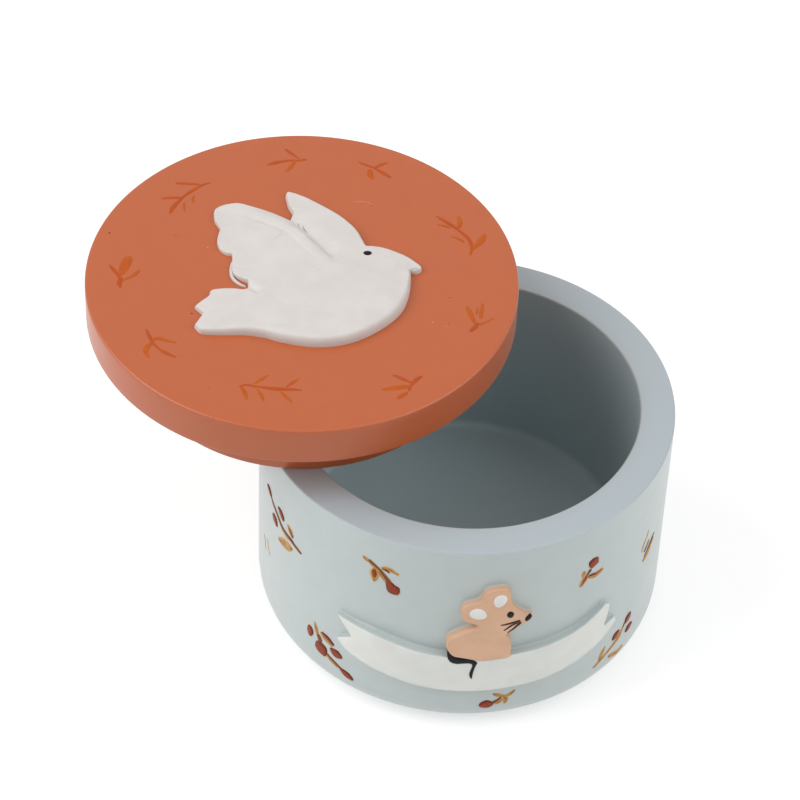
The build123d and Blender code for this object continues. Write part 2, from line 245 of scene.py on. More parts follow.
def turned(corners, centre_x, centre_y):
    """A solid of revolution from corners that start and end on its axis. It is a little uneven, inwards."""
    profile = finely_divided(rounded_profile(corners))
    points = []
    for radius, height in profile[1:-1]:
        for column in range(columns_round):
            turn = 2 * math.pi * column / columns_round
            x, y = math.cos(turn), math.sin(turn)
            place = Vector((radius * x, radius * y, height))
            dent = cast_unevenness * (0.5 + 0.5 * noise.noise(place * dents_per_mm))
            shrunk = radius - dent * min(1.0, radius / calm_radius)
            points.append((centre_x + shrunk * x, centre_y + shrunk * y, height))
    faces = []
    rows = len(profile) - 2
    pairs = [(column, (column + 1) % columns_round) for column in range(columns_round)]
    for row in range(rows - 1):
        low, high = row * columns_round, (row + 1) * columns_round
        faces += [(low + left, low + right, high + right, high + left) for left, right in pairs]
    for (_, height), row, step in ((profile[0], 0, -1), (profile[-1], rows - 1, 1)):
        pole = len(points)
        points.append((centre_x, centre_y, height))
        for pair in pairs:
            faces.append((pole, *(row * columns_round + column for column in pair[::step])))
    return points, faces


def build_cup(material):
    bore_radius = cup_radius - wall
    corners = [
        (0, 0, 0),
        (cup_radius, 0, base_round),
        (cup_radius, cup_height, rim_round),
        (bore_radius, cup_height, rim_round),
        (bore_radius, floor_thickness, bore_corner_round),
        (0, floor_thickness, 0),
    ]
    points, faces = turned(corners, 0, 0)
    shares = {"painted": [], "lining": [], "worn": []}
    for x, y, z in points:
        radius = math.hypot(x, y)
        # The rim's flat top (painted 0) and the bore (lining 1) take darker copies of the paint: painted
        # shade
        shares["painted"].append(float(z < cup_height - rim_round / 2))
        shares["lining"].append(float(z > floor_thickness / 2 and radius < bore_radius + rim_round / 2))
        shares["worn"].append(max(0.0, 1 - math.dist((radius, z), (bore_radius, cup_height)) / rim_round))
    make_piece("cup", points, faces, "box_paint", material, "box", ["box_body"], shares)


def build_lid(material):
    for name, node, radius, low, high, low_round, high_round in (
        ("lid_plate", "lid_disc", lid_radius, disc_low.z, lid_top, lid_foot_round, lid_edge_round),
        ("lid_plug", "lid_step", step_radius, step_low.z, step_high.z, step_edge_round, step_edge_round),
    ):
        corners = [(0, low, 0), (radius, low, low_round), (radius, high, high_round), (0, high, 0)]
        points, faces = turned(corners, lid_x, lid_y)
        make_piece(name, points, faces, "lid_paint", material, "lid", [node])


# Raised figures. The first three are shares of the spacing of their rings and grid.
ring_clearance = 0.97
grid_clearance = 0.4
row_share = 0.866
points_at_once = 2000
just_inside = 0.01
on_outline = 0.001
same_point = 1e-5
inside_only = 1


def inside(points, outline):
    """Which of the points lie inside the closed outline."""
    x, y = points[:, :1], points[:, 1:]
    x1, y1 = outline.T
    x2, y2 = np.roll(outline, -1, axis=0).T
    spans = (y1 > y) != (y2 > y)
    rise = np.where(y2 == y1, 1, y2 - y1)
    crossings = spans & (x < (x2 - x1) * (y - y1) / rise + x1)
    return crossings.sum(axis=1) % 2 == 1


def squares_between(points, others):
    """The square of the distance from each point to each of the others."""
    return ((points[:, None, :] - others[None, :, :]) ** 2).sum(axis=2)


def distance_to(points, line):
    """The distance from each point to the nearest point of a line that is given by close points."""
    parts = [points[start:start + points_at_once] for start in range(0, len(points), points_at_once)]
    return np.concatenate([np.sqrt(squares_between(part, line)).min(axis=1) for part in parts])


def inward_from(outline):
    """The direction inwards at each point of a closed outline."""
    ahead = np.roll(outline, -1, axis=0) - np.roll(outline, 1, axis=0)
    ahead /= np.linalg.norm(ahead, axis=1)[:, None]
    inward = np.stack([-ahead[:, 1], ahead[:, 0]], axis=1)
    return inward if inside((outline + inward * just_inside)[:1], outline)[0] else -inward


def relief_sheet(outline, rings, spacing):
    """Triangles over the inside of an outline: rings of points along it, and an even grid in the middle."""
    inward = inward_from(outline)
    sets = [outline]
    for reach in rings:
        ring = outline + inward * reach
        kept = inside(ring, outline) & (distance_to(ring, outline) > ring_clearance * reach)
        sets.append(ring[kept])
    low, high = outline.min(axis=0), outline.max(axis=0)
    grid = np.array([
        (x, y)
        for row, y in enumerate(np.arange(low[1], high[1], spacing * row_share))
        for x in np.arange(low[0] + (row % 2) * spacing / 2, high[0], spacing)
    ])
    kept = inside(grid, outline)
    kept[kept] = distance_to(grid[kept], outline) > rings[-1] + spacing * grid_clearance
    sets.append(grid[kept])
    cloud = np.vstack(sets)
    count = len(outline)
    edges = [(index, (index + 1) % count) for index in range(count)]
    found = delaunay_2d_cdt([Vector(point) for point in cloud], edges, [], inside_only, same_point)
    points = np.array([tuple(point) for point in found[0]])
    triangles = [tuple(face) for face in found[2]]
    return points, triangles


def figure_sheet(runs, line_spacing, softening, rings, grid_spacing):
    """The outline of a figure, and the points and triangles over its inside."""
    outline = closed_outline(runs, line_spacing, softening)
    return outline, *relief_sheet(outline, rings, grid_spacing)


def closed_relief(points, triangles, heights, place, outline=None, foot=0.0):
    """A closed solid: the raised sheet on top and the same sheet, wider by its foot and sunk, below."""
    count = len(points)
    top = [place(x, y, height) for (x, y), height in zip(points, heights)]
    below = np.array(points)
    if foot:
        rim = distance_to(below, outline) < on_outline
        nearest = squares_between(below[rim], outline).argmin(axis=1)
        below[rim] -= foot * inward_from(outline)[nearest]
    bottom = [place(x, y, -sunk) for x, y in below]
    faces = list(triangles)
    faces += [tuple(index + count for index in reversed(face)) for face in triangles]
    edges = [edge for face in triangles for edge in zip(face, face[1:] + face[:1])]
    shared = set(edges)
    faces += [(start, start + count, end + count, end) for start, end in edges if (end, start) not in shared]
    return top + bottom, faces


def rounded_edge(reach, width):
    """How high an edge stands at this distance inside its outline, as a share: a quarter round."""
    share = np.clip(reach / width, 0, 1)
    return np.sqrt(1 - (1 - share) ** 2)


# The mesh of each figure: the spacing of its outline, how often its corners are softened, the rings
# of points inside it, and the spacing of the grid in its middle
dove_mesh = (0.16, 0, [0.03, 0.08, 0.16, 0.26, 0.38, 0.52, 0.7, 0.9], 0.3)
banner_mesh = (0.3, 1, [0.02, 0.06, 0.12, 0.2], 0.6)
mouse_mesh = (0.18, 1, [0.03, 0.1, 0.2, 0.35, 0.55, 0.8], 0.32)
tail_mesh = (0.12, 1, [0.03, 0.09], 0.2)

# The dove, in millimetres from the lid's centre: runs that meet at corners
dove_runs = [
    [(11.5, 7.5), (13.4, 7.2), (15.6, 6.45), (17.6, 5.4), (19.1, 4.15), (19.7, 3.5), (19.75, 3), (19.4, 2.5),
     (18.8, 2.2)],
    [(18, 2.4)],
    [(18.15, 0), (17.95, -3.8), (17.05, -7.2), (15.3, -10), (12.6, -12.8), (9.7, -14.9), (6.7, -16.15),
     (3.7, -16.65), (0.6, -16.5), (-2.5, -15.95), (-4.6, -15.3), (-6.6, -15), (-8.5, -14.9), (-11, -15.15),
     (-13.1, -15.3), (-14.7, -15.3), (-15.7, -15.1), (-16.65, -13.9)],
    [(-15.5, -10.95)],
    [(-17.05, -9.4)],
    [(-16.3, -8.3), (-15.4, -7.25), (-14.8, -6.4)],
    [(-14.95, -5.85)],
    [(-14.65, -5.4), (-14.05, -5.15), (-12.7, -4.85), (-10.9, -4.7), (-9.5, -4.8), (-8.9, -4.4),
     (-8.75, -3.5), (-8.9, -2.5)],
    [(-9.8, -2.1), (-10.85, -1.5), (-11.55, -0.8), (-11.85, 0.4), (-11.95, 2.2), (-12.1, 3.9)],
    [(-12.8, 3.95), (-13.5, 4.25), (-14.25, 5), (-14.75, 6.1), (-14.95, 7.2), (-14.9, 8.6), (-14.7, 10)],
    [(-15.2, 10.85), (-15.75, 11.8), (-16.1, 13.2), (-16.15, 14.3), (-15.85, 14.95), (-14.8, 15.8),
     (-13.1, 16.4), (-11.7, 16.45), (-9.3, 15.7), (-6.7, 14.65), (-4.6, 13.6), (-3.15, 12.85)],
    [(-2.75, 14.9)],
    [(-3.3, 15.8), (-3.8, 16.9), (-4.1, 18.1), (-4.4, 19.2), (-4.3, 19.95)],
    [(-3.5, 20), (-1.2, 19.1), (1.4, 17.55), (4.8, 15.2), (6.9, 13.2), (8.45, 11.3), (9.4, 9.4),
     (10.3, 7.45)],
]
# How high the dove stands at places all over it: (x, y, height)
dove_levels = [
    (-15.6, 13, 0.75), (-14.3, 7, 0.65), (-11.5, 1, 0.65), (-9.5, -1.5, 0.7), (-11.5, 15.8, 0.95),
    (-4, 13, 1.25), (-8, 9, 1.1), (-4, 4, 1.4), (-1, 8.5, 1.45), (-3.2, 18.5, 1.1), (3, 15, 1.15),
    (8, 10, 1.3), (12, 6, 1.55), (17, 4.5, 1.15), (19.2, 3.2, 0.8), (17.5, 0, 1.6), (10, -3, 1.88),
    (15, -9, 1.85), (4, -8, 1.9), (4, -16, 1.85), (-4, -13, 1.75), (-8, -14, 1.5), (-14, -14.8, 1.3),
    (-16, -13.5, 1), (-16.2, -9.5, 0.75), (-13, -6, 1.1), (-9, -5.2, 1.3), (-4, -6, 1.65), (0, 0, 1.7),
]
dove_level_reach = 3.6
dove_highest = 1.88
dove_lowest = 0.3
dove_edge_share = 0.2
dove_edge_growth = 0.16
dove_ripple = 0.04
dove_waves = (0.5, 1.1, 3.0)
wing_ridge = [
    (-12.4, 14.9), (-8.9, 13.8), (-6.5, 12.7), (-3.7, 11.1), (-1, 8.9), (1, 6.4), (2.7, 4.1), (3.3, 2.2),
]
wing_valley = [
    (-4.2, 14.4), (-3, 12.9), (-1.4, 11.3), (0.9, 8.6), (2.7, 6.6), (4.4, 4.5), (5, 3.2), (5.2, 1.8),
]
wing_crease = [
    (-13.5, 14), (-12.35, 13.5), (-10.8, 13.1), (-8.7, 12.2), (-6.4, 11.1), (-4.3, 9.9), (-2.3, 8),
    (-0.8, 6.2), (1.05, 4.1), (2, 2.4),
]
tail_crease = [(-9.6, -2.6), (-8.7, -3.7), (-7.8, -4.6), (-6.4, -5.8)]
belly_crease = [(-5.4, -13.2), (-4.2, -13.5), (-1.6, -13.6), (1.5, -13.4)]
beak_crease = [(17.4, 2.4), (18, 2.9), (18.9, 3), (19.6, 2.9)]
# Its ridge and creases: the path, the depth, and how far it spreads to the right and to the left
dove_creases = [
    (wing_ridge, -0.30, 1.1, 0.8),
    (wing_crease, 0.10, 0.28, 0.28),
    (wing_valley, 0.50, 0.55, 1.7),
    (tail_crease, 0.55, 0.7, 0.7),
    (belly_crease, 0.06, 0.4, 0.4),
    (beak_crease, 0.35, 0.35, 0.35),
]
# The feather under its wing, as marks of (x, y, width)
feather_marks = [
    (-11.75, 3, 0.25), (-11.95, 1.4, 0.5), (-11.9, -0.1, 0.6), (-11.6, -1.4, 0.6), (-10.95, -2.4, 0.58),
    (-10, -3.15, 0.5), (-9.1, -3.5, 0.3),
]
feather_height = 0.6
dove_eye = ((10.55, 5.15), 1.5, 1.1, 8, 0.16)
# Lines in the white paint: worn marks, and painted shade along the creases and under the beak
# Each is the path and the width at its start, middle and end
worn_and_shade_lines = [
    ([(-12.6, 13.6), (-10.8, 13.1), (-8.7, 12.2), (-6.4, 11.1)], [0.05, 0.13, 0.08]),
    ([(-6.6, 11.2), (-4.3, 9.9), (-3, 8.8), (-2.3, 8)], [0.08, 0.18, 0.06]),
    ([(-10.3, 12.1), (-8.2, 11.5), (-6.3, 10.5), (-4.4, 9.4)], [0.04, 0.12, 0.08]),
    ([(-1.6, 7), (-0.8, 6.2), (0.4, 4.8)], [0.04, 0.09, 0.04]),
    ([(-4.1, 9), (-4.8, 8.1), (-5.45, 7.3)], [0.14, 0.08, 0.08]),
    ([(-5.45, 7.3), (-6, 7.5), (-6.1, 7.9)], [0.08, 0.08, 0.04]),
    ([(3.5, -0.4), (2.7, 0.15), (2.5, 0.5)], [0.04, 0.12, 0.1]),
    ([(-5.1, -13.3), (-3.4, -13.6), (-1.6, -13.6)], [0.04, 0.12, 0.04]),
    ([(18.1, 2.7), (18.6, 2.75), (19.3, 2.9)], [0.3, 0.6, 0.2]),
]
# Darker lines: two scratches in the wing's valley, and painted shade in the crease under the beak's hook
scratch_and_shade_lines = [
    ([(-1.75, 12.3), (-1.6, 11.8), (-1.3, 11.4)], [0.1, 0.2, 0.06]),
    ([(-0.8, 11.5), (-0.5, 10.6), (0.2, 9.7)], [0.1, 0.24, 0.06]),
    ([(17.9, 2.5), (18.3, 2.85), (18.9, 3)], [0.1, 0.3, 0.08]),
]
groove_spacing = 0.2
groove_fade = 0.2


def groove(points, path, depth, right_width, left_width):
    """A soft groove along a path, deepest in its middle and fading out at both ends."""
    line = smooth_run(path, groove_spacing)
    squares = squares_between(points, line)
    nearest = squares.argmin(axis=1)
    reach = np.sqrt(squares.min(axis=1))
    along = nearest / (len(line) - 1)
    fade = np.clip(np.minimum(along, 1 - along) / groove_fade, 0, 1)
    ahead = np.gradient(line, axis=0)[nearest]
    gap = points - line[nearest]
    on_left = ahead[:, 0] * gap[:, 1] - ahead[:, 1] * gap[:, 0] > 0
    width = np.where(on_left, left_width, right_width)
    return depth * np.exp(-(reach / width) ** 2) * fade


def level_at(points, levels, level_reach):
    """A height at each point, evened out between the places where it is given."""
    levels = np.array(levels)
    pulls = np.exp(-squares_between(points, levels[:, :2]) / level_reach ** 2)
    return (pulls * levels[:, 2]).sum(axis=1) / pulls.sum(axis=1)


def waves_at(points, across, along, layer):
    """Smooth waves at each point, with this many to a millimetre across and along."""
    return np.array([noise.noise(Vector((x * across, y * along, layer))) for x, y in points])


def dove_height(points, outline):
    """How high the dove stands above the lid at each point."""
    crown = level_at(points, dove_levels, dove_level_reach)
    for crease in dove_creases:
        crown -= groove(points, *crease)
    crown += dove_ripple * waves_at(points, *dove_waves)
    crown = np.clip(crown, dove_lowest, dove_highest)
    edge_width = (dove_edge_share + dove_edge_growth * crown) * crown
    return crown * rounded_edge(distance_to(points, outline), edge_width)


def draped(rows, height_at):
    """A stroke laid on a raised figure, whose height at points comes from height_at."""
    laid = []
    for row in rows:
        heights = height_at(np.array(row)[:, :2])
        laid.append([(x, y, lift + height) for (x, y, lift), height in zip(row, heights)])
    return laid


def build_dove(material, worn, scratch_and_shade, ink):
    outline, points, triangles = figure_sheet(dove_runs, *dove_mesh)
    made = closed_relief(points, triangles, dove_height(points, outline), on_lid)
    nodes = ["dove_body", "dove_near_wing", "dove_far_wing"]
    make_piece("dove", *made, "white_paint", material, "lid", nodes)
    feather = brushed(feather_marks, 0.0, feather_height)
    make_strokes("dove_under_feather", [feather], on_lid, "white_paint", material, "lid")

    def height_at(places):
        return dove_height(places, outline)

    # Worn marks and scratches, and painted shade along the creases and under the beak, in greyed paints
    for name, lines, paint in (
        ("dove_worn_and_shade_lines", worn_and_shade_lines, worn),
        ("dove_scratch_and_shade_lines", scratch_and_shade_lines, scratch_and_shade),
    ):
        laid = [draped(stroke(path, widths, 0.0, dove_line_relief), height_at) for path, widths in lines]
        make_strokes(name, laid, on_lid, "white_paint", paint, "lid")
    eye = draped(spot(*dove_eye, dab_lift), height_at)
    make_strokes("dove_painted_eye", [eye], on_lid, "black_paint", ink, "lid", ["dove_eye"])


# The ribbon and the mouse on the cup's front: (arc round from the front, height above the floor)
banner_runs = [
    [(-16.65, 22.55), (-12.95, 22.4), (-9.1, 21.75), (-4.9, 21), (-0.8, 20.65), (4.5, 20.6), (9.4, 20.7),
     (13.9, 20.95), (18.15, 21.35), (21.7, 21.95), (24.75, 23.1), (27.2, 24.4)],
    [(28.4, 23.5)],
    [(28.2, 21.5), (27.4, 18.6)],
    [(30.15, 19)],
    [(30.45, 17.5)],
    [(28.25, 15.6), (25.5, 14.45), (21.7, 13.4), (17.85, 12.8), (12.4, 12.3), (6, 12), (0, 11.95),
     (-5.5, 12.25), (-11, 13.2), (-16.35, 14.35), (-18.35, 15), (-20.1, 16.7)],
    [(-17.05, 19.05)],
    [(-20.1, 22.75)],
]
# How far the ribbon stands out along its length: (arc, relief)
banner_levels = [(-20.0, 0.95), (-13.0, 1.48), (16.0, 1.48), (30.0, 0.82)]
banner_foot = 0.4
banner_edge_round = 0.2
banner_bare_edge = 0.12
banner_paint_fade = 0.08
banner_ripple = 0.03
banner_waves = (0.25, 0.25, 7.0)
mouse_runs = [
    [(2.5, 28.9), (1.7, 29.4), (1.15, 30.2), (1, 31.4), (1.1, 32.5), (1.5, 33.05), (2.05, 33.4),
     (2.95, 33.8), (3.8, 34.15), (4.1, 34.5)],
    [(4.35, 35.3), (4.65, 36.1), (5.2, 36.6), (6.1, 36.95), (7.1, 37.05), (8.1, 36.95), (8.75, 36.5),
     (9.05, 35.5), (9.25, 34.1), (9.5, 32.8)],
    [(10.2, 31.9), (10.85, 31.05), (11.45, 30.4), (12.1, 29.9), (12.7, 29.7), (13, 29.35), (12.95, 28.7),
     (12.6, 28.1), (12.1, 27.65), (11.6, 27.45), (10.6, 27.1), (9.7, 26.6), (9, 26.25), (8.65, 26)],
    [(9.2, 25.1), (9.6, 24), (9.72, 22.9), (9.72, 21.9), (9.65, 21), (10, 20.3)],
    [(8.8, 19.95), (7.6, 19.85), (6.4, 19.75), (5.25, 19.7), (4.3, 19.75), (3.5, 19.95), (2.9, 20.15),
     (1.7, 20.45), (0.9, 20.6), (0.2, 20.8)],
    [(-0.5, 21.6), (-0.95, 22.7), (-1.1, 23.8), (-0.98, 24.7), (-0.55, 25.45), (0.25, 26.15), (1.4, 26.95),
     (2.4, 27.5), (3.2, 27.85), (3.75, 28.1)],
    [(3.6, 28.7)],
]
# How far the mouse stands out at places all over it: (arc, height above the floor, relief)
mouse_levels = [
    (3, 24, 1.7), (8, 23, 1.7), (2, 21.5, 1.65), (9, 21, 1.65), (6, 28, 1.7), (6.5, 31.5, 1.6), (9, 31, 1.5),
    (10.5, 29.5, 1.3), (12.3, 29, 0.95), (7, 35.5, 1.3), (2.5, 31.5, 1.3),
]
mouse_level_reach = 2.5
mouse_edge_share = 0.25
mouse_paint_height = 0.4
# The painted shade along the mouse's edge, a darker tan: how strong it is and how far it reaches inwards
mouse_edge_strength = 1.2
mouse_edge_paint = 0.6
mouse_edge_shade = 0.8
# Creases at its neck and its ear: the path, the depth, and how far it spreads to both sides
mouse_creases = [
    ([(3.6, 28.4), (4.2, 28.4), (4.8, 28.1)], 0.15, 0.35, 0.35),
    ([(4.0, 34.6), (4.4, 34.8), (4.8, 34.5), (5.4, 33.9)], 0.2, 0.35, 0.35),
]
mouse_tail_runs = [
    [(-0.75, 21.5), (-0.6, 20.45), (-0.25, 19.65), (0.3, 19.2), (1.1, 19.05), (2, 19.2), (2.85, 19.25),
     (3.3, 19.05), (3.35, 18.5), (3.15, 17.6), (2.98, 16.7), (3.05, 15.95), (3.3, 15.4), (3.6, 15.2)],
    [(3.66, 16.3), (3.78, 17.25), (3.95, 18.15), (4.15, 18.9), (4.3, 19.4), (4, 19.87), (3.5, 20.23),
     (2.92, 20.5), (2.25, 20.63), (1.7, 20.55), (1.15, 20.62), (0.7, 20.83), (0.3, 21.25), (0, 21.8),
     (-0.25, 22.3), (-0.6, 22.45)],
]
tail_relief = 1.62
tail_edge_round = 0.12
# Dabs of paint on the mouse: centre, width, height, lean in degrees, relief, lift, how egg-shaped
mouse_ears = [
    ((3.87, 31.45), 2.7, 2.8, 62, 0.06, dab_lift, 0.15),
    ((7.2, 34.4), 2.25, 2.8, -15, 0.06, dab_lift, 0.1),
]
mouse_eye = ((9.0, 30.85), 1.2, 1.65, 12, 0.12, dab_lift)
mouse_nose = ((12.1, 28.95), 1.1, 1.6, -24, 0.12, dab_lift, 0.15)
mouse_whiskers = [
    [(10.8, 28.7), (9.85, 28.68), (8.75, 28.6), (7.5, 28.6)],
    [(10.8, 28.55), (9.85, 28.25), (9, 27.8), (8.05, 27.2)],
    [(10.95, 28.3), (10.35, 27.7), (9.6, 27), (8.7, 26.5)],
]
whisker_widths = [0.6, 0.5, 0.42, 0.26]


def banner_height(points, outline):
    """How far the ribbon stands out of the cup at each point."""
    crown = np.interp(points[:, 0], *np.array(banner_levels).T)
    crown += banner_ripple * waves_at(points, *banner_waves)
    return crown * rounded_edge(distance_to(points, outline), banner_edge_round)


def mouse_height(points, outline):
    """How far the mouse stands out of the cup at each point."""
    crown = level_at(points, mouse_levels, mouse_level_reach)
    for crease in mouse_creases:
        crown -= groove(points, *crease)
    return crown * rounded_edge(distance_to(points, outline), mouse_edge_share * crown)


def build_banner(material):
    outline, points, triangles = figure_sheet(banner_runs, *banner_mesh)
    # Where the white stops, the bare sides take a darker copy of the cup's paint: painted shade
    painted = np.clip((distance_to(points, outline) - banner_bare_edge) / banner_paint_fade, 0, 1)
    made = closed_relief(points, triangles, banner_height(points, outline), on_side, outline, banner_foot)
    shares = {"painted": list(painted) + [0.0] * len(points)}
    make_piece("ribbon", *made, "white_paint", material, "box", ["banner"], shares)


def build_mouse(material, pale, ink, brown):
    outline, points, triangles = figure_sheet(mouse_runs, *mouse_mesh)
    heights = mouse_height(points, outline)
    painted = np.clip(heights / mouse_paint_height, 0, 1)
    # The edge share carries the painted shade along the mouse's edge
    edge = np.clip(mouse_edge_strength - distance_to(points, outline) / mouse_edge_paint, 0, 1)
    shares = {"painted": list(painted) + [0.0] * len(points), "edge": list(edge) + [1.0] * len(points)}
    made = closed_relief(points, triangles, heights, on_side)
    nodes = ["mouse_body", "mouse_head", "mouse_front_ear", "mouse_back_ear"]
    make_piece("mouse", *made, "tan_paint", material, "box", nodes, shares)

    def height_at(places):
        return mouse_height(places, outline) * inside(places, outline)

    whiskers = [stroke(path, whisker_widths, dab_lift) for path in mouse_whiskers]
    for name, dabs, slot, paint, node in (
        ("mouse_ear_hollows", [spot(*ear) for ear in mouse_ears], "white_paint", pale, "mouse_inner_ears"),
        ("mouse_painted_eye", [spot(*mouse_eye)], "black_paint", ink, "mouse_eye"),
        ("mouse_painted_nose", [spot(*mouse_nose)], "black_paint", ink, "mouse_nose"),
        ("mouse_painted_whiskers", whiskers, "brown_paint", brown, "mouse_whiskers"),
    ):
        make_strokes(name, [draped(dab, height_at) for dab in dabs], on_side, slot, paint, "box", [node])
    outline, points, triangles = figure_sheet(mouse_tail_runs, *tail_mesh)
    heights = tail_relief * rounded_edge(distance_to(points, outline), tail_edge_round)
    made = closed_relief(points, triangles, heights, on_side)
    make_piece("mouse_painted_tail", *made, "black_paint", ink, "box", ["mouse_tail"])


# Brush strokes: rows of points across a path, closer together at its ends
stroke_spacing = 0.1
row_spacing = 0.18
end_steps = np.array([0.0, 0.03, 0.08, 0.16])
first_even_row = 0.24
end_width_share = 0.1
full_relief_width = 0.6
spot_rows = 18
spot_end_share = 0.05
# Each point of a row, as a share of the stroke's width and of its relief
stroke_shares = [(-0.5, 0.0), (-0.42, 0.55), (-0.22, 0.9), (0.0, 1.0), (0.22, 0.9), (0.42, 0.55), (0.5, 0.0)]


def stroke_row(middle, across, base, thickness):
    """The points of one row across a stroke: (x, y, height), with both edges sunk."""
    return [
        (*(middle + across * share), base + thickness * high - (0 if high else sunk / 2))
        for share, high in stroke_shares
    ]


def stroke(path, widths, base, thickness=paint_relief):
    """The rows of a low rounded brush stroke with round ends along a path."""
    curve = smooth_run(path, stroke_spacing)
    travelled = np.concatenate([[0], np.cumsum(np.linalg.norm(np.diff(curve, axis=0), axis=1))])
    length = travelled[-1]
    middle = np.arange(first_even_row, length - first_even_row, row_spacing)
    stops = np.concatenate([end_steps, middle, (length - end_steps)[::-1]])
    line = np.stack([np.interp(stops, travelled, curve[:, axis]) for axis in (0, 1)], axis=1)
    spread = smooth_run(list(enumerate(widths)), stroke_spacing)
    width = np.interp(stops / length * (len(widths) - 1), spread[:, 0], spread[:, 1])
    to_end = np.minimum(stops, length - stops)
    width = width * np.maximum(end_width_share, rounded_edge(to_end, width / 2))
    ahead = np.gradient(line, axis=0)
    ahead /= np.linalg.norm(ahead, axis=1)[:, None]
    across = np.stack([ahead[:, 1], -ahead[:, 0]], axis=1)
    return [
        stroke_row(place, side * wide, base, thickness * min(1.0, wide / full_relief_width))
        for place, side, wide in zip(line, across, width)
    ]


def brushed(marks, base, thickness=paint_relief):
    """A stroke through marks of (x, y, width)."""
    return stroke([mark[:2] for mark in marks], [mark[2] for mark in marks], base, thickness)


def spot(centre, width, height, lean_degrees, thickness, base=0.0, egg=0.0):
    """A rounded oval dab of paint, by this share wider towards its top than towards its foot."""
    lean = math.radians(lean_degrees)
    along = np.array((-math.sin(lean), math.cos(lean))) * height / 2
    across = np.array((math.cos(lean), math.sin(lean))) * width
    rows = []
    for step in range(spot_rows + 1):
        turn = math.pi * (step / spot_rows - 0.5)
        middle = np.array(centre) + along * math.sin(turn)
        reach = max(spot_end_share, math.cos(turn)) * (1 + egg * math.sin(turn))
        rows.append(stroke_row(middle, across * reach, base, thickness * reach))
    return rows


def make_strokes(name, strokes, place, slot, material, body, replaced=()):
    """One piece of many brush strokes, each closed below and at its ends."""
    points = []
    faces = []
    edges = []
    wide = len(stroke_shares)
    for rows in strokes:
        first = len(points)
        points += [place(x, y, height) for row in rows for x, y, height in row]
        edges += [2 * abs(share) for _ in rows for share, _ in stroke_shares]
        last = first + (len(rows) - 1) * wide
        for start in range(first, last, wide):
            pairs = [(start + column, start + (column + 1) % wide) for column in range(wide)]
            faces += [(left, right, right + wide, left + wide) for left, right in pairs]
        faces.append(tuple(range(first + wide - 1, first - 1, -1)))
        faces.append(tuple(range(last, last + wide)))
    make_piece(name, points, faces, slot, material, body, replaced, {"edge": edges})


# The sprigs on the lid, in millimetres from its centre: each stroke as marks of (x, y, width)
lid_stems = [
    [(-17.4, 22.1, 0.3), (-18.6, 21.5, 0.55), (-19.8, 20.4, 0.8), (-21.1, 18.9, 0.75), (-21.9, 17.8, 0.6),
     (-22.6, 16.5, 0.85), (-23.2, 15.3, 1), (-23.6, 13.5, 0.45)],
    [(-23.5, 21.3, 0.4), (-22.2, 21.4, 0.7), (-20.7, 21.4, 0.6), (-19.3, 21.4, 0.4)],
    [(-25.5, 17.2, 0.3), (-24.6, 17.4, 0.65), (-23.4, 17.6, 0.65), (-22, 17.7, 0.5)],
    [(-8.3, 27.5, 0.4), (-7.2, 28.1, 0.9), (-5.5, 28.8, 0.7), (-4, 29.1, 0.6), (-2.9, 29.2, 0.45),
     (-1.6, 29.7, 0.6)],
    [(-5.6, 32, 0.4), (-4.6, 31.1, 0.75), (-3.4, 30.1, 0.5), (-2.9, 29.5, 0.3)],
    [(7.3, 29.8, 0.35), (8.5, 29.2, 0.6), (10.1, 28.5, 0.6), (11.3, 27.7, 0.75), (12.3, 26.9, 0.9),
     (13.3, 26.2, 0.4)],
    [(12.5, 30.1, 0.4), (11.3, 29.4, 0.75), (10.2, 28.5, 0.5)],
    [(21.5, 17.1, 0.35), (23.1, 15.9, 0.8), (24.8, 14.5, 0.8), (25.9, 13.4, 0.65), (27.1, 12.1, 0.8),
     (27.7, 10.8, 0.75), (27.9, 9.2, 0.65), (27.7, 7.8, 0.4)],
    [(29.5, -4.8, 0.25), (29.4, -6.6, 0.3)],
    [(29.8, -8.4, 0.7), (29.3, -9.5, 0.95), (28.5, -10.7, 0.7)],
    [(21.3, -21.7, 0.5), (20.5, -22.5, 0.9), (19.7, -23.7, 0.65), (19.2, -25.4, 0.5)],
    [(16.4, -21.9, 0.4), (17.9, -22.6, 0.9), (19.5, -23.4, 0.45)],
    [(-8.1, -26.8, 0.3), (-6.9, -26.3, 0.55), (-5.7, -26.5, 0.55), (-3.8, -26.7, 0.8), (-1.5, -26.8, 0.9),
     (0.6, -26.7, 0.65), (2.2, -26.7, 0.25)],
    [(-24.5, -14.9, 0.4), (-23.7, -16.6, 0.7), (-23, -18.1, 0.65), (-21.8, -19.4, 0.55),
     (-20.3, -20.4, 0.85), (-18.8, -21, 0.3)],
    [(-32.3, -0.1, 0.4), (-31.1, -1.7, 0.8), (-30.1, -3.2, 0.75), (-30.1, -4.4, 1.05), (-29.8, -5.5, 0.5)],
]
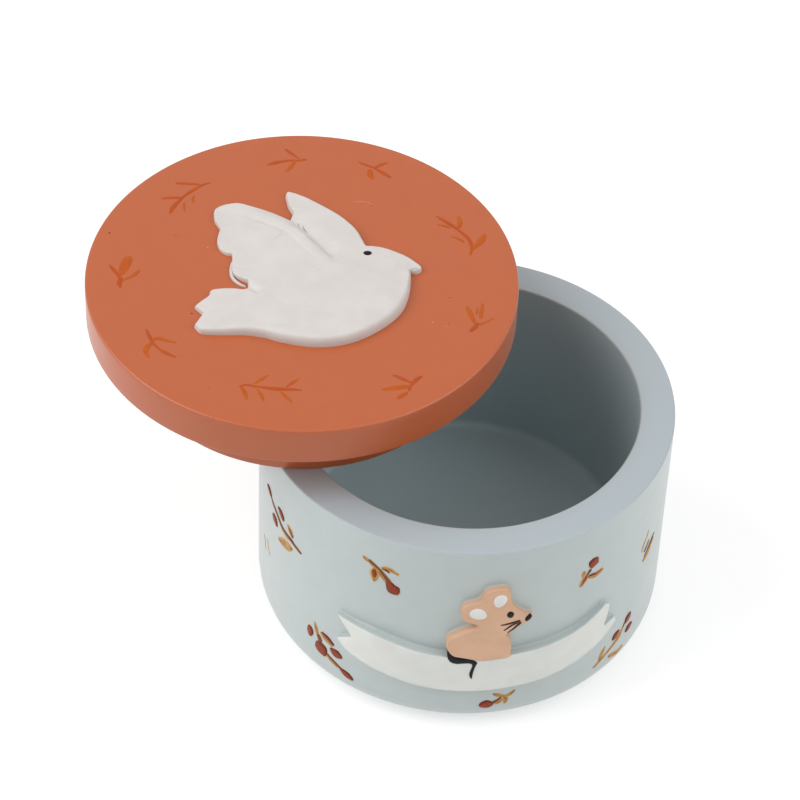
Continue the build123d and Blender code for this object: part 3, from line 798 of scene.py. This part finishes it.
lid_leaves = [
    [(-20, 18.6, 0.4), (-20.1, 17.4, 0.55), (-19.8, 16.5, 0.25)],
    [(-21.5, 16.6, 0.4), (-21.4, 15.4, 0.5), (-21.1, 14.3, 0.25)],
    [(-3.6, 28.9, 0.6), (-4.2, 27.3, 0.95), (-5, 25.9, 0.35)],
    [(9.5, 28.1, 0.8), (9.6, 26.7, 1.25), (10.2, 25.5, 0.45)],
    [(21.7, 15, 0.3), (22.9, 14.7, 0.55), (24.1, 14.4, 0.5)],
    [(25.2, 17.6, 0.5), (25.6, 16.1, 1.05), (25.5, 14.3, 0.7)],
    [(24.2, 12.2, 0.3), (25.4, 11.8, 0.55), (26.6, 10.9, 0.6)],
    [(30, 13.4, 0.5), (29.3, 11.4, 1.5), (28.3, 9.7, 1.1), (27.9, 9.2, 0.5)],
    [(27.7, -4.7, 0.4), (28.3, -6.2, 1.1), (29, -8.1, 0.85), (29.4, -8.8, 0.4)],
    [(30.3, -3.7, 0.4), (30.2, -5.5, 0.85), (30.1, -7.5, 0.6)],
    [(32.4, -7, 0.3), (31.3, -8, 0.6), (30, -8.9, 0.6)],
    [(14.8, -25.5, 0.3), (16.6, -25, 1.1), (18, -24.6, 1.15), (19.4, -24.2, 0.6)],
    [(19.1, -25.7, 0.6), (18.3, -26.5, 1), (17.5, -27.3, 0.8)],
    [(-5.8, -26, 0.3), (-4.7, -24.9, 0.75), (-3.5, -23.7, 0.3)],
    [(-0.5, -26.3, 0.3), (0.3, -25.3, 0.75), (1.4, -24.1, 0.3)],
    [(-7.8, -26.8, 0.4), (-7.1, -28, 0.85), (-6.6, -29.7, 0.4)],
    [(-5.2, -27.1, 0.4), (-4.4, -28.4, 0.75), (-3.8, -29.9, 0.3)],
    [(-1.3, -27.4, 0.4), (-0.4, -28.5, 0.85), (0.8, -29.7, 0.3)],
    [(-19.2, -17.7, 0.35), (-20.7, -17.3, 0.7), (-22.5, -16.9, 1.05), (-23.1, -17.8, 0.5)],
    [(-23.2, -18, 0.5), (-23.9, -19.3, 1.2), (-23.8, -20.6, 0.9), (-23.2, -21.6, 0.35)],
    [(-29.1, 2.4, 1.5), (-29.5, 0.9, 2), (-29.8, -0.7, 1.9), (-30.1, -2.4, 0.7)],
    [(-27.1, -0.8, 0.5), (-28, -2.3, 0.9), (-29.3, -3.4, 0.55), (-29.9, -4.1, 0.3)],
]
# Scratches in the paint of the lid, and specks: (centre, width, height)
lid_scratches = [
    [(7.4, 19.45, 0.1), (8.65, 19.65, 0.16), (9.9, 19.45, 0.16), (10.4, 18.95, 0.1)],
]
lid_pale_specks = [((22.3, -9), 0.3, 0.3), ((24.55, -9.75), 0.3, 0.22), ((-16.4, 5.7), 0.32, 0.3)]
lid_dark_specks = [
    ((10.4, 18.65), 0.22, 0.3), ((24.8, -2.85), 0.7, 0.14), ((-17.41, -10.52), 0.5, 0.36),
    ((-33.23, 7.78), 0.4, 0.5),
]


def build_lid_paint(stem_paint, leaf_paint, pale_paint, dark_paint):
    for name, lines, specks, relief, slot, paint, replaced in (
        ("lid_painted_stems", lid_stems, [], lid_paint_relief, "burnt_paint", stem_paint, ["lid_sprigs"]),
        ("lid_painted_leaves", lid_leaves, [], lid_paint_relief, "burnt_paint", leaf_paint, []),
        ("lid_pale_marks", lid_scratches, lid_pale_specks, speck_relief, "lid_paint", pale_paint, []),
        ("lid_dark_marks", [], lid_dark_specks, speck_relief, "lid_paint", dark_paint, []),
    ):
        strokes = [brushed(marks, 0.0, relief) for marks in lines]
        strokes += [spot(*speck, 0, relief) for speck in specks]
        make_strokes(name, strokes, on_lid, slot, paint, "lid", replaced)


# The sprigs on the cup's side: each stroke as (arc round from the front, height above the floor, width)
side_stems = [
    [(-39.7, 33.6, 0.4), (-38.9, 32.9, 0.6), (-37.8, 32.3, 0.7), (-36.7, 31.6, 0.6), (-35, 30.5, 0.7),
     (-32.3, 30, 0.7), (-29.2, 29.3, 0.5)],
    [(-14.8, 38.4, 0.4), (-13.7, 37.6, 0.55), (-12.8, 36.9, 0.5), (-12.2, 36.2, 0.7), (-11.4, 35.2, 0.8),
     (-10.9, 34.4, 1)],
    [(-24.8, 13, 0.9), (-24.4, 12.3, 1), (-24, 11.4, 1)],
    [(-22.6, 9.6, 0.5), (-21.7, 9.1, 0.5), (-20.5, 8.5, 0.5), (-19.5, 7.9, 0.6)],
    [(23.85, 34.3, 0.7), (23.45, 33.7, 0.5), (23.05, 33.2, 0.5)],
    [(34.45, 12.75, 0.4), (33.65, 11.45, 0.36), (32.15, 9.95, 0.3), (30.25, 8.95, 0.2), (28.55, 8.15, 0.3),
     (26.75, 7.15, 0.2)],
    [(7.6, 7.1, 0.6), (8.3, 7.6, 0.4), (9, 8.35, 0.35)],
]
side_gold = [
    [(34.15, 12.25, 0.5), (33.65, 11.45, 0.8), (32.15, 9.95, 0.9), (30.25, 8.95, 0.6), (28.55, 8.15, 0.8),
     (26.75, 7.15, 0.5)],
    [(-36.3, 31, 0.3), (-35, 30.1, 0.7), (-33.5, 29.85, 1.2), (-32, 30, 0.5)],
    [(-33.4, 32.9, 0.3), (-32.5, 32.1, 1.6), (-31.7, 31, 0.6)],
    [(-36.6, 26.4, 0.5), (-35.3, 26.8, 2.1), (-33.8, 27.4, 2.4), (-31.8, 28.2, 0.8)],
    [(-43.6, 20.2, 0.14), (-42.9, 18.9, 0.22), (-42.6, 17.3, 0.12)],
    [(-41.6, 21.1, 0.14), (-41.2, 19.7, 0.22), (-40.4, 18.2, 0.12)],
    [(-15.9, 38.65, 0.7), (-15.2, 38.2, 0.9), (-14.4, 37.8, 0.6)],
    [(-14.7, 37.9, 0.5), (-13.7, 37.1, 0.6), (-12.6, 35.9, 1), (-11.6, 34.5, 0.5)],
    [(-12.6, 37.5, 0.3), (-11.7, 37.85, 0.8), (-10.9, 37.7, 0.8), (-9.4, 37, 0.4)],
    [(-13.7, 37, 0.6), (-13.75, 35.9, 1.7), (-13.7, 34.7, 1.6), (-13.7, 33.6, 0.4)],
    [(-25.6, 15.5, 0.3), (-25.2, 14.3, 0.9), (-24.9, 12.9, 0.9)],
    [(-24.2, 13.9, 0.5), (-22.8, 13.2, 1.5), (-21.3, 12.4, 0.6)],
    [(-22.8, 9.2, 0.4), (-21.8, 8.6, 0.6), (-20.2, 7.8, 0.4)],
    [(22.45, 34.6, 0.7), (22.4, 33.7, 0.9), (22.55, 33, 0.5)],
    [(23.25, 33.5, 0.6), (22.65, 32.3, 1.4), (21.85, 31, 0.7)],
    [(23.35, 32.6, 0.6), (24.85, 32.2, 1.4), (26.65, 32.7, 0.7)],
    [(33.55, 11.15, 0.5), (32.85, 10.35, 1.4), (32.05, 9.65, 0.5)],
    [(29.35, 10.95, 0.3), (28.65, 9.75, 1), (28.05, 8.15, 0.6)],
    [(34.55, 6.95, 0.4), (32.85, 6.45, 1.3), (30.45, 7.35, 0.9)],
    [(7.8, 6.75, 0.5), (8.5, 7, 0.8), (9.2, 7.75, 0.5)],
    [(7.4, 9.35, 0.3), (8.2, 8.9, 0.9), (9.3, 8.45, 0.6)],
    [(9.2, 8.75, 0.4), (9.75, 7.65, 1), (9.6, 6.35, 0.4)],
    [(9.4, 8.35, 0.4), (10.4, 8.65, 0.8), (11.3, 9.6, 0.3)],
    [(39.6, 31.5, 0.14), (39.2, 30.3, 0.3), (37.9, 28.7, 0.4), (37.7, 27.6, 0.2)],
    [(42.4, 27.2, 0.4), (41.3, 26, 1), (39.9, 25, 1.5), (38.4, 24.6, 0.8)],
]
side_red = [
    [(-41.6, 34.8, 0.5), (-40.6, 34.3, 1.3), (-39.5, 33.6, 0.6)],
    [(-36.7, 34.1, 0.4), (-35.6, 33.5, 1.5), (-34.6, 32.4, 0.6)],
    [(-38.9, 30.3, 0.9), (-38.2, 29.9, 1.9), (-37, 28.7, 0.4)],
    [(-32.9, 32.6, 0.3), (-32.2, 31.9, 0.8), (-31.6, 31.1, 0.4)],
    [(-33.4, 30.2, 0.3), (-32.3, 30.05, 0.8), (-31.3, 29.9, 0.5)],
    [(-11.5, 34.9, 0.9), (-11, 34.2, 1.7), (-10.4, 33.3, 2.6), (-9.4, 32.3, 1.7)],
    [(-13.7, 36.8, 0.5), (-13.7, 35.7, 1.05), (-13.7, 34.5, 0.4)],
    [(-12.4, 37.35, 0.2), (-11.7, 37.3, 0.45), (-11, 36.9, 0.2)],
    [(-26.7, 13.6, 0.9), (-26.6, 12.4, 1.6), (-26.6, 11, 0.7)],
    [(-23.9, 14.2, 0.4), (-22.5, 13.7, 0.9), (-21.1, 12.8, 0.4)],
    [(-24.8, 11.2, 2.2), (-24.3, 10.5, 3), (-23.7, 9.6, 2.7), (-23, 8.6, 0.9)],
    [(-21.9, 11.7, 0.5), (-20.7, 11.1, 2.1), (-19.3, 10.8, 0.8)],
    [(-19.7, 8, 0.5), (-18.6, 7.4, 1.5), (-17, 6.6, 0.7)],
    [(25.05, 36.5, 1.5), (24.35, 35.6, 2.4), (23.85, 34.5, 0.7)],
    [(23.15, 33.4, 0.4), (22.65, 32.5, 0.6), (22.05, 31.3, 0.3)],
    [(23.55, 32.8, 0.4), (24.95, 32.55, 0.5), (26.35, 32.8, 0.3)],
    [(36.05, 14.15, 0.6), (35.25, 13.15, 1.8), (34.45, 12.45, 0.7)],
    [(36.95, 10.75, 0.6), (35.85, 10.25, 1.6), (34.95, 9.75, 0.7)],
    [(32.85, 12.35, 0.5), (31.95, 11.65, 1.5), (31.15, 10.95, 0.8)],
    [(5.2, 6.5, 1.2), (5.9, 6.6, 2), (6.7, 6.7, 2.1), (7.7, 6.85, 0.9)],
    [(42.6, 28, 0.12), (41.5, 27.4, 0.22), (40.3, 26.4, 0.26), (38.9, 25.3, 0.2)],
    [(40.3, 28.4, 0.12), (39.5, 27.6, 0.22), (38.6, 26.8, 0.24)],
]

# One plain sprig about its own middle, which repeats round the back
plain_stems = [
    [(-3, 2, 0.4), (-1.2, 1, 0.6), (0, 0.2, 0.6), (1.3, -1, 0.6), (2.5, -2.4, 0.5)],
]
plain_gold = [
    [(-1, 0.9, 0.4), (0.5, 1.6, 1.5), (1.9, 2.1, 0.4)],
    [(0.3, 0, 0.4), (-0.6, -1.3, 1.6), (-1.4, -2.9, 0.4)],
    [(-2.3, 1.6, 0.3), (-3.1, 0.9, 1.2), (-3.6, -0.2, 0.4)],
]
plain_red = [
    [(-4.2, 2.6, 0.6), (-3.7, 2.4, 1.6), (-2.9, 1.9, 0.6)],
    [(2.2, -2.2, 0.8), (2.8, -3.1, 2.1), (3.4, -4.2, 0.9)],
    [(1, -0.6, 0.4), (2.2, -0.3, 1.3), (3.3, -0.4, 0.5)],
    [(-0.6, 1, 0.2), (0.5, 1.5, 0.6), (1.4, 1.85, 0.2)],
]
# Where its copies are, and which way round each one is
plain_places = [
    (60.8, 15.5, 1), (73.6, 31.5, -1), (88.6, 16.9, 1), (105, 30.6, 1), (121.5, 14.7, -1), (138.6, 31.1, -1),
    (156.8, 17.3, 1),
]
# How far the stems and the buds lie above the leaves
stem_lift = 0.03
bud_lift = 0.05


def placed(marks, place):
    """A stroke of the plain sprig at one of its places."""
    arc, height, way = place
    return [(x * way + arc, y + height, width) for x, y, width in marks]


def build_side_sprigs(stem_paint, gold_paint, red_paint):
    for name, sprigs, plain, base, slot, paint, node in (
        ("side_painted_leaves", side_gold, plain_gold, 0.0, "gold_paint", gold_paint, "side_leaves"),
        ("side_painted_stems", side_stems, plain_stems, stem_lift, "brown_paint", stem_paint, "side_stems"),
        ("side_painted_buds", side_red, plain_red, bud_lift, "berry_paint", red_paint, "side_berries"),
    ):
        copies = [placed(marks, place) for place in plain_places for marks in plain]
        strokes = [brushed(marks, base) for marks in sprigs + copies]
        make_strokes(name, strokes, on_side, slot, paint, "box", [node])


# Materials, with noise in cells to a metre and depths in metres
mottle_detail = 4.0
mottle_range = (0.35, 0.65)
specks_per_metre = 1500
speck_softness = 0.03
speck_shade = 0.62
edge_range = (0.35, 1.0)
gloss_per_metre = 420
dust_roughness = 0.3
grain_per_metre = 2600
grain_strength = 0.25
grain_depth = 0.00005
fine_detail = 2.0
brush_marks_per_metre = 700
brush_stretch = (0.25, 1.6, 1.0)
brush_depth = 0.00012


def grey(level):
    return (level, level, level)


def shade(colour, factor):
    return tuple(min(1.0, channel * factor) for channel in colour)


def new_material(name):
    material = bpy.data.materials.new(name)
    material.use_nodes = True
    return material, material.node_tree, material.node_tree.nodes["Principled BSDF"]


def set_inputs(node, values):
    for socket, value in values.items():
        node.inputs[socket].default_value = value


def noise_node(tree, where, scale, detail=fine_detail, stretch=(1, 1, 1)):
    """Noise in the object's own place, at this many cells per metre."""
    mapping = tree.nodes.new("ShaderNodeMapping")
    set_inputs(mapping, {"Scale": stretch})
    tree.links.new(where, mapping.inputs["Vector"])
    made = tree.nodes.new("ShaderNodeTexNoise")
    set_inputs(made, {"Scale": scale, "Detail": detail})
    tree.links.new(mapping.outputs["Vector"], made.inputs["Vector"])
    return made.outputs["Fac"]


def ramp(tree, source, ends, first=grey(0.0), last=grey(1.0)):
    """A ramp from one colour to another between two values of the source."""
    made = tree.nodes.new("ShaderNodeValToRGB")
    for element, position, colour in zip(made.color_ramp.elements, ends, (first, last)):
        element.position = position
        element.color = (*colour, 1)
    tree.links.new(source, made.inputs["Fac"])
    return made.outputs["Color"]


def mixed(tree, share, first, second):
    """The first colour where the share is 0 and the second where it is 1."""
    made = tree.nodes.new("ShaderNodeMix")
    made.data_type = "RGBA"
    tree.links.new(share, made.inputs["Factor"])
    sockets = [socket for socket in made.inputs if socket.type == "RGBA"]
    for socket, colour in zip(sockets, (first, second)):
        if isinstance(colour, tuple):
            socket.default_value = (*colour, 1)
        else:
            tree.links.new(colour, socket)
    return [socket for socket in made.outputs if socket.type == "RGBA"][0]


def share_node(tree, kind):
    """The share of this kind that a mesh carries at its points."""
    made = tree.nodes.new("ShaderNodeAttribute")
    made.attribute_name = kind
    return made.outputs["Fac"]


def bump_node(tree, height, strength, depth):
    made = tree.nodes.new("ShaderNodeBump")
    set_inputs(made, {"Strength": strength, "Distance": depth})
    tree.links.new(height, made.inputs["Height"])
    return made


def coat(
    name, colour, second=None, mottle=0.05, spots_per_metre=260, specks=0.0, roughness=(0.28, 0.38),
    sheen=0.5, dust=0.0, brush=0.0, edge=None, shaded_backing=None, lining=None, worn=None,
):
    """Hand-laid paint on a cast surface: mottled colour, uneven sheen, fine grain, specks, brush marks."""
    material, tree, shader = new_material(name)
    where = tree.nodes.new("ShaderNodeTexCoord").outputs["Object"]
    cloud = noise_node(tree, where, spots_per_metre, mottle_detail)
    light = second or shade(colour, 1 + mottle)
    dark = colour if second else shade(colour, 1 - mottle)
    tone = ramp(tree, cloud, mottle_range, dark, light)
    if specks:
        grains = noise_node(tree, where, specks_per_metre, 1.0)
        mask = ramp(tree, grains, (specks, specks + speck_softness))
        tone = mixed(tree, mask, tone, shade(colour, speck_shade))
    if edge:
        tone = mixed(tree, ramp(tree, share_node(tree, "edge"), edge_range), tone, edge)
    # The backing and lining colours are darker copies of a paint: painted shade
    if shaded_backing:
        tone = mixed(tree, share_node(tree, "painted"), shaded_backing, tone)
    for kind, paint in (("lining", lining), ("worn", worn)):
        if paint:
            tone = mixed(tree, share_node(tree, kind), tone, paint)
    tree.links.new(tone, shader.inputs["Base Color"])
    gloss = noise_node(tree, where, gloss_per_metre)
    spread = tree.nodes.new("ShaderNodeMapRange")
    set_inputs(spread, {"To Min": roughness[0], "To Max": roughness[1]})
    tree.links.new(gloss, spread.inputs["Value"])
    tree.links.new(spread.outputs["Result"], shader.inputs["Roughness"])
    set_inputs(shader, {"Specular IOR Level": sheen})
    set_inputs(shader, {"Sheen Weight": dust, "Sheen Roughness": dust_roughness})
    grain = noise_node(tree, where, grain_per_metre)
    bump = bump_node(tree, grain, grain_strength, grain_depth)
    if brush:
        marks = noise_node(tree, where, brush_marks_per_metre, stretch=brush_stretch)
        strokes = bump_node(tree, marks, brush, brush_depth)
        tree.links.new(bump.outputs["Normal"], strokes.inputs["Normal"])
        bump = strokes
    tree.links.new(bump.outputs["Normal"], shader.inputs["Normal"])
    return material


# The light, the floor and the background: each lamp's place in metres, its width and its power
lamps = [
    ("left_panel", (-0.78, -0.14, 0.76), 1.0, 8.5),
    ("right_panel", (0.78, -0.14, 0.76), 1.0, 5.2),
    ("top_panel", (0.0, 0.0, 1.2), 0.8, 1.0),
]
lamp_target = (0.0, 0.0, 0.03)
room_light = 0.42
floor_reach = 6.0
floor_lit = 0.8
floor_seen = 0.55
floor_glow = 0.56
floor_roughness = 0.9


def seen_share(tree):
    """1 for what the camera sees straight or in a reflection, 0 for the light that falls on the box."""
    path = tree.nodes.new("ShaderNodeLightPath")
    either = tree.nodes.new("ShaderNodeMath")
    either.operation = "MAXIMUM"
    tree.links.new(path.outputs["Is Camera Ray"], either.inputs[0])
    tree.links.new(path.outputs["Is Glossy Ray"], either.inputs[1])
    return either.outputs["Value"]


def light_the_scene():
    for name, place, size, power in lamps:
        lamp = bpy.data.lights.new(name, "AREA")
        lamp.shape = "DISK"
        lamp.size = size
        lamp.energy = power
        aim(add_object(name, lamp), place, lamp_target)
    world = bpy.data.worlds.new("studio")
    bpy.context.scene.world = world
    world.use_nodes = True
    tree = world.node_tree
    colour = mixed(tree, seen_share(tree), grey(room_light), grey(1.0))
    tree.links.new(colour, tree.nodes["Background"].inputs["Color"])


def lay_floor():
    corners = [(x * floor_reach, y * floor_reach, 0) for x, y in ((-1, -1), (1, -1), (1, 1), (-1, 1))]
    mesh = bpy.data.meshes.new("studio_floor")
    mesh.from_pydata(corners, [], [range(len(corners))])
    material, tree, shader = new_material("floor_paper")
    seen = seen_share(tree)
    colour = mixed(tree, seen, grey(floor_lit), grey(floor_seen))
    tree.links.new(colour, shader.inputs["Base Color"])
    set_inputs(shader, {"Roughness": floor_roughness, "Specular IOR Level": 0.0})
    set_inputs(shader, {"Emission Color": (*grey(floor_glow), 1)})
    tree.links.new(seen, shader.inputs["Emission Strength"])
    mesh.materials.append(material)
    add_object("studio_floor", mesh)


# The whole scene
bpy.context.scene.view_settings.view_transform = "Standard"
place_camera()
light_the_scene()
lay_floor()

satin = (0.45, 0.6)
chalky = (0.6, 0.7)
# The cup's paint, with darker copies on its rim's top and in its bore as painted shade
cup_paint = coat(
    "cup_paint", body_blue, specks=0.80, mottle=0.015, shaded_backing=shaded_rim_blue, lining=shaded_lining_blue, worn=worn_brown,
)
lid_paint = coat("lid_paint", terracotta, specks=0.80, mottle=0.012, dust=0.2)
dove_paint = coat("dove_paint", dove_white, mottle=0.03, brush=0.35, roughness=satin)
# Greyed paints for the dove's worn marks and scratches, and for painted shade in its creases
worn_and_shade_paint = coat("worn_and_shade_paint", worn_and_shade_white, mottle=0.15, roughness=chalky)
scratch_and_shade_paint = coat("scratch_and_shade_paint", scratch_and_shade_grey, mottle=0.15, roughness=chalky)
# The bare sides of the ribbon and the mouse, and the mouse's edge, are in painted shade
ribbon_paint = coat("ribbon_paint", banner_white, mottle=0.03, shaded_backing=shaded_edge_blue)
mouse_paint = coat(
    "mouse_paint", mouse_tan, shaded_backing=shaded_edge_blue, roughness=satin, edge=shade(mouse_tan, mouse_edge_shade),
)
ear_paint = coat("ear_paint", ear_white)
black_ink = coat("black_ink", ink_black, mottle=0.3, roughness=(0.3, 0.45), sheen=0.12)
brown_ink = coat("brown_ink", whisker_brown, mottle=0.25, sheen=0.15)
pale_mark = coat("pale_mark", scratch_pink, mottle=0.1, sheen=0.2)
dark_mark = coat("dark_mark", speck_brown, mottle=0.2, sheen=0.2)
# The inks of the sprigs: their two tones, how many spots to a metre, and the colour of the edge
stem_ink, gold_ink, red_ink, lid_stem_ink, lid_leaf_ink = [
    coat(name, first, second, spots_per_metre=spots, sheen=0.15, edge=edge)
    for name, first, second, spots, edge in (
        ("stem_ink", stem_brown, edge_brown, 700, dark_ochre),
        ("gold_ink", dark_ochre, ochre, 900, pale_ochre),
        ("red_ink", brick_red, brick_orange, 900, edge_red),
        ("lid_stem_ink", burnt_red, burnt_orange, 400, None),
        ("lid_leaf_ink", burnt_orange, burnt_ochre, 400, None),
    )
]

build_cup(cup_paint)
build_lid(lid_paint)
build_dove(dove_paint, worn_and_shade_paint, scratch_and_shade_paint, black_ink)
build_banner(ribbon_paint)
build_mouse(mouse_paint, ear_paint, black_ink, brown_ink)
build_lid_paint(lid_stem_ink, lid_leaf_ink, pale_mark, dark_mark)
build_side_sprigs(stem_ink, gold_ink, red_ink)
